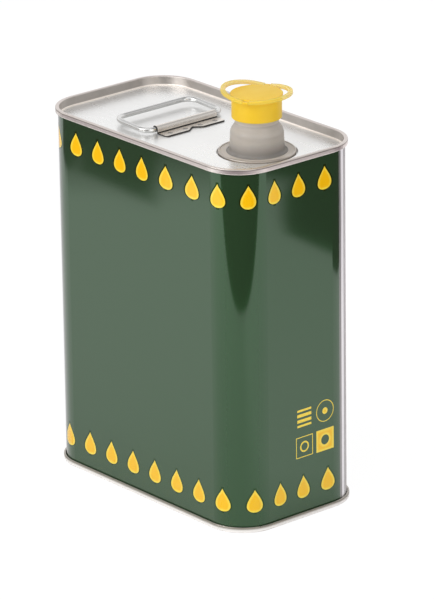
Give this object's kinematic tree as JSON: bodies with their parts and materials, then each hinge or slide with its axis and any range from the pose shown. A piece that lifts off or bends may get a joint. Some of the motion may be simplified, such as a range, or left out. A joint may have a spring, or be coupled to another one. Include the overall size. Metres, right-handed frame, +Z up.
{
  "type": "oil tin",
  "caption": "Rectangular tinplate oil tin with a swinging wire handle and a pull-up pouring spout closed by a screw cap with two pull bails.",
  "frame": {"origin": "centre of the foot, on the surface the tin stands on", "axes": "+Z up, X along the wide face with the spout towards +X, Y through the depth with the printed front face towards -Y"},
  "size_m": [0.171, 0.095, 0.2454],
  "materials": {
    "printed_tinplate": "gloss print and varnish over tinplate, yellow drop borders",
    "bare_tinplate": "bright tinplate, satin",
    "galvanised_wire": "bright drawn wire",
    "seam_compound": "matt",
    "spout_plastic": "natural translucent soft plastic",
    "cap_plastic": "satin moulded plastic",
    "liner_foam": "white foamed liner"
  },
  "bodies": {
    "tin": {"body_wall": "printed_tinplate", "side_weld": "bare_tinplate", "top_end": "bare_tinplate", "bottom_end": "bare_tinplate", "top_seam_compound": "seam_compound", "bottom_seam_compound": "seam_compound", "handle_bracket": "bare_tinplate", "bracket_spot_welds": "bare_tinplate", "spout_crimp_ring": "bare_tinplate", "spout_flange": "spout_plastic", "spout_wall": "spout_plastic"},
    "handle": {"handle_wire": "galvanised_wire"},
    "spout": {"spout_neck": "spout_plastic"},
    "liner": {"cap_liner": "liner_foam"},
    "cap": {"cap_shell": "cap_plastic"},
    "bail_left": {"bail_left": "cap_plastic"},
    "bail_right": {"bail_right": "cap_plastic"}
  },
  "joints": [
    {"name": "handle_swing", "type": "hinge", "parent": "tin", "child": "handle", "pos_m": [-0.013, 0, 0.2108], "axis": [0, 1, 0], "range_deg": [-3.2, 178.8]},
    {"name": "spout_pull", "type": "slide", "parent": "tin", "child": "spout", "axis": [0, 0, 1], "range_m": [-0.0308, 0], "deforming": ["spout_wall"]},
    {"name": "cap_lift", "type": "slide", "parent": "spout", "child": "liner", "axis": [0, 0, 1], "range_m": [0, 0.012]},
    {"name": "cap_turn", "type": "hinge", "parent": "liner", "child": "cap", "pos_m": [0.0488, 0, 0.2297], "axis": [0, 0, 1], "range_deg": [0, 1440]},
    {"name": "bail_left_swing", "type": "hinge", "parent": "cap", "child": "bail_left", "pos_m": [0.04664, -0.00115, 0.2415], "axis": [-0.4695, 0.8829, 0], "range_deg": [-9.7, 75.3]},
    {"name": "bail_right_swing", "type": "hinge", "parent": "cap", "child": "bail_right", "pos_m": [0.05096, 0.00115, 0.2415], "axis": [0.4695, -0.8829, 0], "range_deg": [-5.2, 79.8]}
  ],
  "couplings": [
    {"joint": "cap_lift", "follows": "cap_turn", "m_per_rad": 0.00047746}
  ]
}
